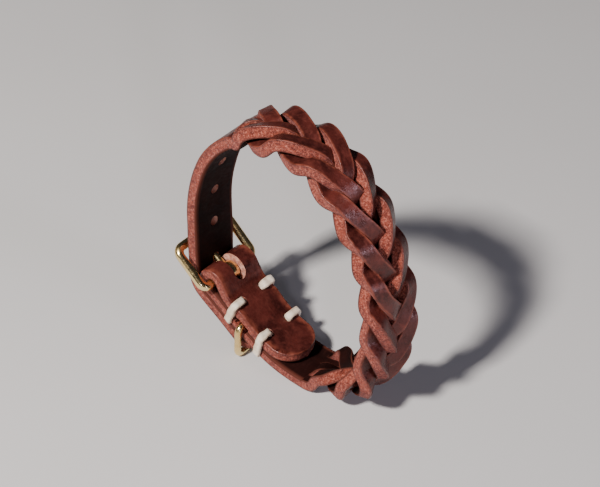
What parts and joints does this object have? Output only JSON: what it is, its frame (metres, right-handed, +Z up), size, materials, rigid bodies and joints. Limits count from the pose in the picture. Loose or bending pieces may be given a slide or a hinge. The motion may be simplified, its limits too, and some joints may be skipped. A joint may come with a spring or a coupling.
{
  "type": "braided leather bracelet",
  "caption": "Braided leather wrist band with a solid perforated end, a folded and laced buckle end, a brass pin buckle and a brass keeper loop, buckled into a ring.",
  "frame": {"origin": "middle of the ring's footprint on the surface it stands on", "axes": "+X from the buckle towards the braid, +Y along the axis of the ring, +Z up"},
  "size_m": [0.0622, 0.02, 0.0681],
  "materials": {
    "leather": "burnished vegetable-tanned grain with raw cut edges",
    "brass": "polished solid brass",
    "lace": "matt undyed leather lace"
  },
  "bodies": {
    "strap": {"strap_buckle_end": "leather", "strap_tip_end": "leather", "braid_strand_1": "leather", "braid_strand_2": "leather", "braid_strand_3": "leather", "braid_strand_4": "leather", "braid_strand_5": "leather", "lace_1": "lace", "lace_2": "lace"},
    "buckle_frame": {"buckle_frame": "brass"},
    "buckle_prong": {"buckle_prong": "brass"},
    "keeper_loop": {"keeper_loop": "brass"}
  },
  "joints": [
    {"name": "frame_hinge", "type": "hinge", "parent": "strap", "child": "buckle_frame", "pos_m": [-0.01934, 0, 0.01725], "axis": [0, -1, 0], "range_deg": [0, 5]},
    {"name": "prong_hinge", "type": "hinge", "parent": "buckle_frame", "child": "buckle_prong", "pos_m": [-0.01934, 0, 0.01725], "axis": [0, -1, 0], "range_deg": [0, 4]},
    {"name": "keeper_slide", "type": "slide", "parent": "strap", "child": "keeper_loop", "axis": [0.809, 0, -0.5878], "range_m": [-0.0008, 0.0008]}
  ]
}
